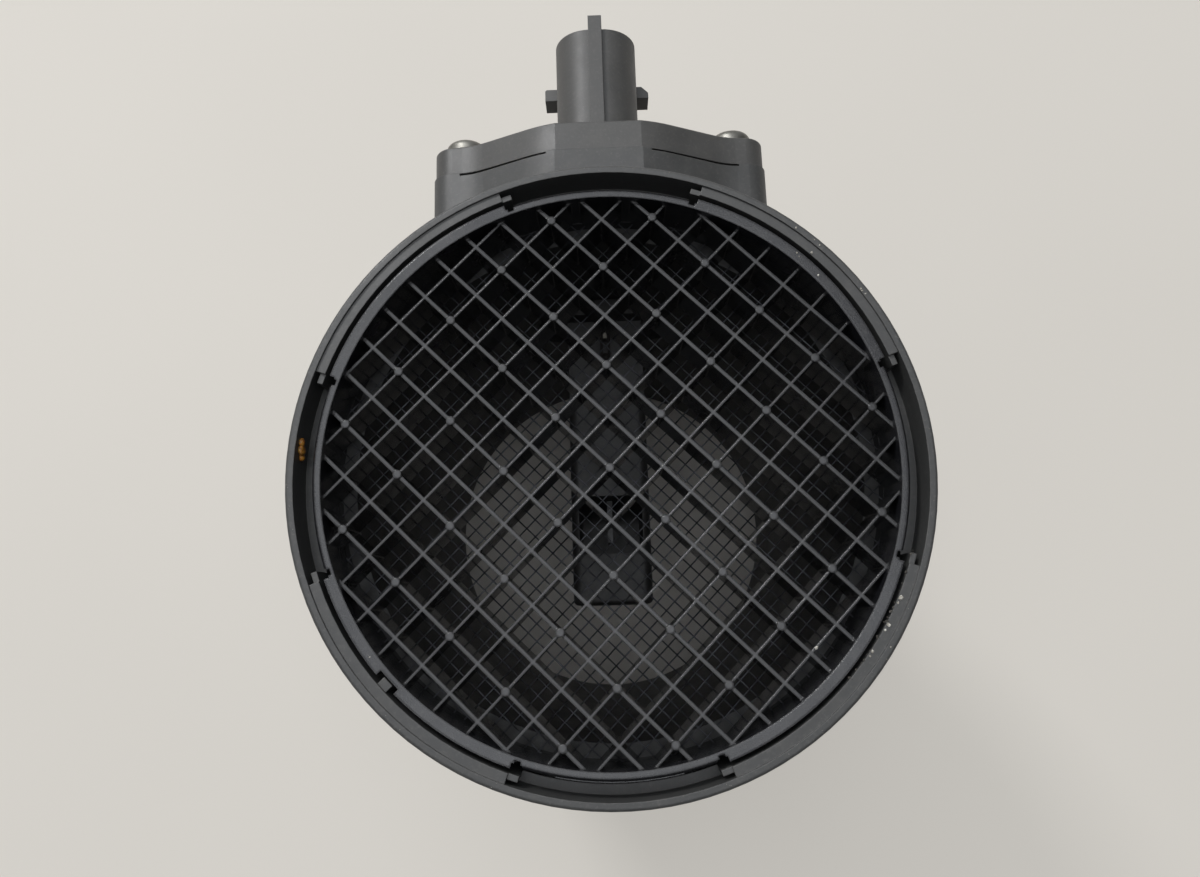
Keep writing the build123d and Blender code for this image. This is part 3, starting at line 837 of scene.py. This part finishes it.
def lay_grains(name, places, sizes, material, generator):
    """One object of many separate grains, each pressed a little into what carries it."""
    joined = bmesh.new()
    for number, (place, size) in enumerate(zip(places, sizes)):
        grain = grain_shape(size, 7.3 * number + 1)
        turn = Matrix.Rotation(generator.uniform(0, 2 * math.pi), 4, "Z")
        low = min((turn @ corner.co).z for corner in grain.verts)
        grain.transform(Matrix.Translation(Vector(place) - Vector((0, 0, low + GRAIN_SINK * size))) @ turn)
        part = bpy.data.meshes.new("grain")
        grain.to_mesh(part)
        grain.free()
        joined.from_mesh(part)
        bpy.data.meshes.remove(part)
    mesh = bpy.data.meshes.new(name)
    joined.to_mesh(mesh)
    joined.free()
    piece = bpy.data.objects.new(name, mesh)
    bpy.context.scene.collection.objects.link(piece)
    mesh.materials.append(material)
    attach(piece, "root")


def on_circle(radius, degrees, height):
    """Point on a circle about the duct axis, with the radius in millimetres."""
    turn = math.radians(degrees)
    return (radius * MM * math.cos(turn), radius * MM * math.sin(turn), height)


class AIRFLOW_OT_grit(bpy.types.Operator):
    """Pale grit on the rim, the ring and the ribs"""

    bl_idname = "airflow.grit"
    bl_label = "Grit"

    def execute(self, context):
        dirt = context.scene.airflow_dirt
        generator = random.Random(GRIT_SEED)
        pale = loose_grit("grit_loose", tuple(dirt.grit_colour), hex_colour("9A958A"))
        step_top = RIM_TOP - RIM_STEP * MM
        rib_top = RING_TOP - RIB_DROP * MM
        places = [on_circle(radius, turn, step_top) for turn, radius, _ in STEP_CRUMBS]
        places += [on_circle(radius, turn, RIM_TOP) for turn, radius, _ in RIM_SPECKS]
        places += [on_circle(radius, turn, RING_TOP) for turn, radius, _ in RING_SPECKS]
        places.append(on_circle(RIB_SPECK_RADIUS, RIB_SPECK_TURN, rib_top))
        sizes = [size * MM for _, _, size in STEP_CRUMBS + RIM_SPECKS + RING_SPECKS]
        sizes.append(RIB_SPECK_SIZE * MM)
        lay_grains("grit_pale", places, sizes, pale, generator)
        return {"FINISHED"}


class AIRFLOW_OT_dust(bpy.types.Operator):
    """Brown-grey dust caught along the gap, and fine specks on the rim and ribs"""

    bl_idname = "airflow.dust"
    bl_label = "Dust"

    def execute(self, context):
        dirt = context.scene.airflow_dirt
        generator = random.Random(DUST_SEED)
        brown = loose_grit("dust_packed", tuple(dirt.packed_colour), hex_colour("3B3833"))
        fine = loose_grit("dust_fine", tuple(dirt.fine_colour), hex_colour("7C7870"))
        step_top = RIM_TOP - RIM_STEP * MM
        rib_top = RING_TOP - RIB_DROP * MM
        places, sizes = [], []
        for _ in range(dirt.crumb_count):
            turn = generator.gauss(*CRUMB_TURN)
            sunk = step_top - generator.uniform(*CRUMB_DEPTHS) * MM
            places.append(on_circle(generator.uniform(*CRUMB_RADII), turn, sunk))
            sizes.append(generator.uniform(*CRUMB_SIZES) * MM)
        lay_grains("dust_in_gap", places, sizes, brown, generator)
        places, sizes = [], []
        for _ in range(dirt.speck_count):
            turn = generator.uniform(0, 360)
            places.append(on_circle(generator.uniform(*RIM_SPECK_RADII), turn, RIM_TOP))
            sizes.append(generator.uniform(*RIM_SPECK_SIZES) * MM)
        for _ in range(dirt.speck_count):
            # Specks on the ribs stay on the rib lines, which run at 45 degrees.
            line = generator.randint(-RIB_LINES, RIB_LINES) * RIB_PITCH
            along = generator.uniform(-1, 1) * math.sqrt(RIB_REACH**2 - line**2)
            side = 1 if generator.random() < 0.5 else -1
            east, north = along + line, side * (along - line)
            places.append((east * MM / math.sqrt(2), north * MM / math.sqrt(2), rib_top))
            sizes.append(generator.uniform(*RIB_SPECK_SIZES) * MM)
        lay_grains("specks_fine", places, sizes, fine, generator)
        return {"FINISHED"}


class AIRFLOW_OT_resin(bpy.types.Operator):
    """Dried amber drop on the wall of the left snap recess"""

    bl_idname = "airflow.resin"
    bl_label = "Amber drop"

    def execute(self, context):
        dirt = context.scene.airflow_dirt
        material = dried_resin("resin_dried", tuple(dirt.resin_colour), hex_colour("7A4E1E"))
        drop = bmesh.new()
        for turn, height, width, length in RESIN_LOBES:
            lobe = bmesh.ops.create_icosphere(drop, subdivisions=3, radius=0.5 * MM)["verts"]
            centre = Vector(on_circle(RECESS_WALL - RESIN_STAND, turn, RIM_TOP + height * MM))
            for corner in lobe:
                lump = noise.noise(corner.co * per_mm(RESIN_LUMP) + Vector((turn, 0, 0)))
                swell = 1 + RESIN_SWELL * lump
                corner.co = centre + corner.co * Vector((width, length, length)) * swell
        for face in drop.faces:
            face.smooth = True
        mesh = bpy.data.meshes.new("resin_drop")
        drop.to_mesh(mesh)
        drop.free()
        piece = bpy.data.objects.new("resin_drop", mesh)
        context.scene.collection.objects.link(piece)
        mesh.materials.append(material)
        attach(piece, "root")
        return {"FINISHED"}


# ---------------------------------------------------------------- stage
# The floor within this radius, in millimetres, is what shows down the duct.
OUTLET_EDGE = 38.0
# Places and sizes of the lamps, in metres.
CEILING_PLACE = (-0.02, 0.06, 1.6)
CEILING_SIZE = 1.15
WINDOW_PLACE = (-0.35, 0.9, 1.2)
WINDOW_SIZE = 0.9
SPOT_PLACE = (-0.42, 0.62, 0.72)
SPOT_SIZE = 0.18
LAMP_TARGET = (0.0, 0.0, 0.06)
COOL_WHITE = "F7FAFF"
PLAIN_WHITE = "FFFFFF"
# The room is brighter towards the window, which stands at the upper left.
ROOM_BRIGHT_SIDE = (-0.45, 0.81, 0.37)
ROOM_DIM_SHARE = 0.3
ROOM_BRIGHT_SHARE = 1.7


def area_lamp(name, place, size, power, code):
    """Square soft lamp that looks at the object, in the colour of an sRGB hex code."""
    lamp = bpy.data.lights.new(name, "AREA")
    lamp.size = size
    lamp.energy = power
    lamp.color = hex_colour(code)[:3]
    piece = bpy.data.objects.new(name, lamp)
    piece.location = place
    piece.rotation_euler = (Vector(LAMP_TARGET) - Vector(place)).to_track_quat("-Z", "Y").to_euler()
    bpy.context.scene.collection.objects.link(piece)


class AIRFLOW_OT_stage(bpy.types.Operator):
    """Pale floor, soft lamps, room light and camera"""

    bl_idname = "airflow.stage"
    bl_label = "Stage"

    def execute(self, context):
        stage = context.scene.airflow_stage
        self.add_floor(stage)
        self.add_light(context, stage)
        self.add_camera(context, stage)
        context.scene.view_settings.view_transform = "Standard"
        return {"FINISHED"}

    def add_floor(self, stage):
        shape = bmesh.new()
        bmesh.ops.create_circle(shape, cap_ends=True, segments=96, radius=stage.floor_radius)
        mesh = bpy.data.meshes.new("floor")
        shape.to_mesh(mesh)
        shape.free()
        floor = bpy.data.objects.new("floor", mesh)
        bpy.context.scene.collection.objects.link(floor)
        # Satin laminate: a plain pale sheet with a very soft, uneven tone.
        material, tree, place = new_material("laminate_satin")
        tone = add_node(tree, NOISE, {"Vector": place, "Scale": per_mm(160.0), "Detail": 2.0})
        colour = tuple(stage.floor_colour)
        clouded = add_node(tree, RANGE, {0: tone, 1: 0.35, 2: 0.65})
        body = add_node(tree, MIX, {0: clouded, 6: shaded(colour, 0.95), 7: colour}, **RGBA)
        shader = add_node(tree, PRINCIPLED, {"Base Color": body, "Roughness": 0.8})
        # The camera sees a share of plain pale sheet in the shade too, but not down the duct.
        plain = add_node(tree, "ShaderNodeEmission", {"Color": hex_colour("DAD6CE"), "Strength": 1.0})
        reach = {1: OUTLET_EDGE * MM, 2: (OUTLET_EDGE + 4.0) * MM, 3: 0.0, 4: stage.plain_share}
        share = add_node(tree, RANGE, {0: axis_distance(tree, place), **reach})
        camera_ray = add_node(tree, "ShaderNodeLightPath", result="Is Camera Ray")
        seen = add_node(tree, MATHS, {0: camera_ray, 1: share}, operation="MULTIPLY")
        both = add_node(tree, "ShaderNodeMixShader", {0: seen, 1: shader, 2: plain})
        add_node(tree, OUTPUT, {"Surface": both})
        mesh.materials.append(material)

    def add_light(self, context, stage):
        area_lamp("ceiling_lamp", CEILING_PLACE, CEILING_SIZE, stage.ceiling_power, COOL_WHITE)
        area_lamp("window_lamp", WINDOW_PLACE, WINDOW_SIZE, stage.window_power, COOL_WHITE)
        area_lamp("spot_lamp", SPOT_PLACE, SPOT_SIZE, stage.spot_power, PLAIN_WHITE)
        world = bpy.data.worlds.new("room")
        context.scene.world = world
        world.use_nodes = True
        tree = world.node_tree
        tree.nodes.clear()
        way = add_node(tree, "ShaderNodeTexCoord", result="Generated")
        side = add_node(tree, VECTORS, {0: way, 1: ROOM_BRIGHT_SIDE}, operation="DOT_PRODUCT", result="Value")
        dim = ROOM_DIM_SHARE * stage.sky_strength
        bright = ROOM_BRIGHT_SHARE * stage.sky_strength
        level = add_node(tree, RANGE, {0: side, 1: -0.1, 2: 0.8, 3: dim, 4: bright})
        room = add_node(tree, "ShaderNodeBackground", {"Color": hex_colour("F0F3F7"), "Strength": level})
        # What the camera sees past the floor is plain and pale, whatever the room light is.
        backdrop = add_node(tree, "ShaderNodeBackground", {"Color": hex_colour("DBD8D2"), "Strength": 1.0})
        seen = add_node(tree, "ShaderNodeLightPath", result="Is Camera Ray")
        both = add_node(tree, "ShaderNodeMixShader", {0: seen, 1: room, 2: backdrop})
        add_node(tree, "ShaderNodeOutputWorld", {"Surface": both})

    def add_camera(self, context, stage):
        view = bpy.data.cameras.new("camera")
        view.lens = stage.focal_length
        view.sensor_width = 36.0
        view.clip_start = 0.01
        camera = bpy.data.objects.new("camera", view)
        context.scene.collection.objects.link(camera)
        tilt, yaw, roll = stage.camera_tilt, -stage.camera_yaw, stage.camera_roll
        forward = Vector((math.sin(yaw) * math.cos(tilt), math.sin(tilt), -math.cos(tilt) * math.cos(yaw)))
        forward.normalize()
        level_right = forward.cross(Vector((0, 1, 0))).normalized()
        level_up = level_right.cross(forward)
        right = level_right * math.cos(roll) - level_up * math.sin(roll)
        up = level_right * math.sin(roll) + level_up * math.cos(roll)
        turn = Matrix((right, up, -forward)).transposed().to_4x4()
        camera.matrix_world = Matrix.Translation(Vector(stage.camera_place)) @ turn
        context.scene.camera = camera


# ---------------------------------------------------------------- panel and registration
SETTINGS = (
    ("airflow_plastic", PlasticSettings),
    ("airflow_metal", MetalSettings),
    ("airflow_dirt", DirtSettings),
    ("airflow_stage", StageSettings),
)
OPERATORS = (
    AIRFLOW_OT_stage,
    AIRFLOW_OT_duct,
    AIRFLOW_OT_grid,
    AIRFLOW_OT_sensor,
    AIRFLOW_OT_screen,
    AIRFLOW_OT_fasteners,
    AIRFLOW_OT_electronics,
    AIRFLOW_OT_grit,
    AIRFLOW_OT_dust,
    AIRFLOW_OT_resin,
)


class AIRFLOW_PT_panel(bpy.types.Panel):
    """Settings and steps of the airflow sensor"""

    bl_idname = "AIRFLOW_PT_panel"
    bl_label = "Airflow sensor"
    bl_space_type = "VIEW_3D"
    bl_region_type = "UI"
    bl_category = "Airflow"

    def draw(self, context):
        for name, group in SETTINGS:
            box = self.layout.box()
            settings = getattr(context.scene, name)
            for field in group.__annotations__:
                box.prop(settings, field)
        for operator in OPERATORS:
            self.layout.operator(operator.bl_idname)


def register():
    for _, group in SETTINGS:
        bpy.utils.register_class(group)
    for operator in OPERATORS:
        bpy.utils.register_class(operator)
    bpy.utils.register_class(AIRFLOW_PT_panel)
    for name, group in SETTINGS:
        setattr(bpy.types.Scene, name, PointerProperty(type=group))


def unregister():
    for name, _ in SETTINGS:
        delattr(bpy.types.Scene, name)
    bpy.utils.unregister_class(AIRFLOW_PT_panel)
    for operator in reversed(OPERATORS):
        bpy.utils.unregister_class(operator)
    for _, group in reversed(SETTINGS):
        bpy.utils.unregister_class(group)


def main():
    register()
    bpy.ops.airflow.stage()
    bpy.ops.airflow.duct()
    bpy.ops.airflow.grid()
    bpy.ops.airflow.sensor()
    bpy.ops.airflow.screen()
    bpy.ops.airflow.fasteners()
    bpy.ops.airflow.electronics()
    bpy.ops.airflow.grit()
    bpy.ops.airflow.dust()
    bpy.ops.airflow.resin()


if __name__ == "__main__":
    main()
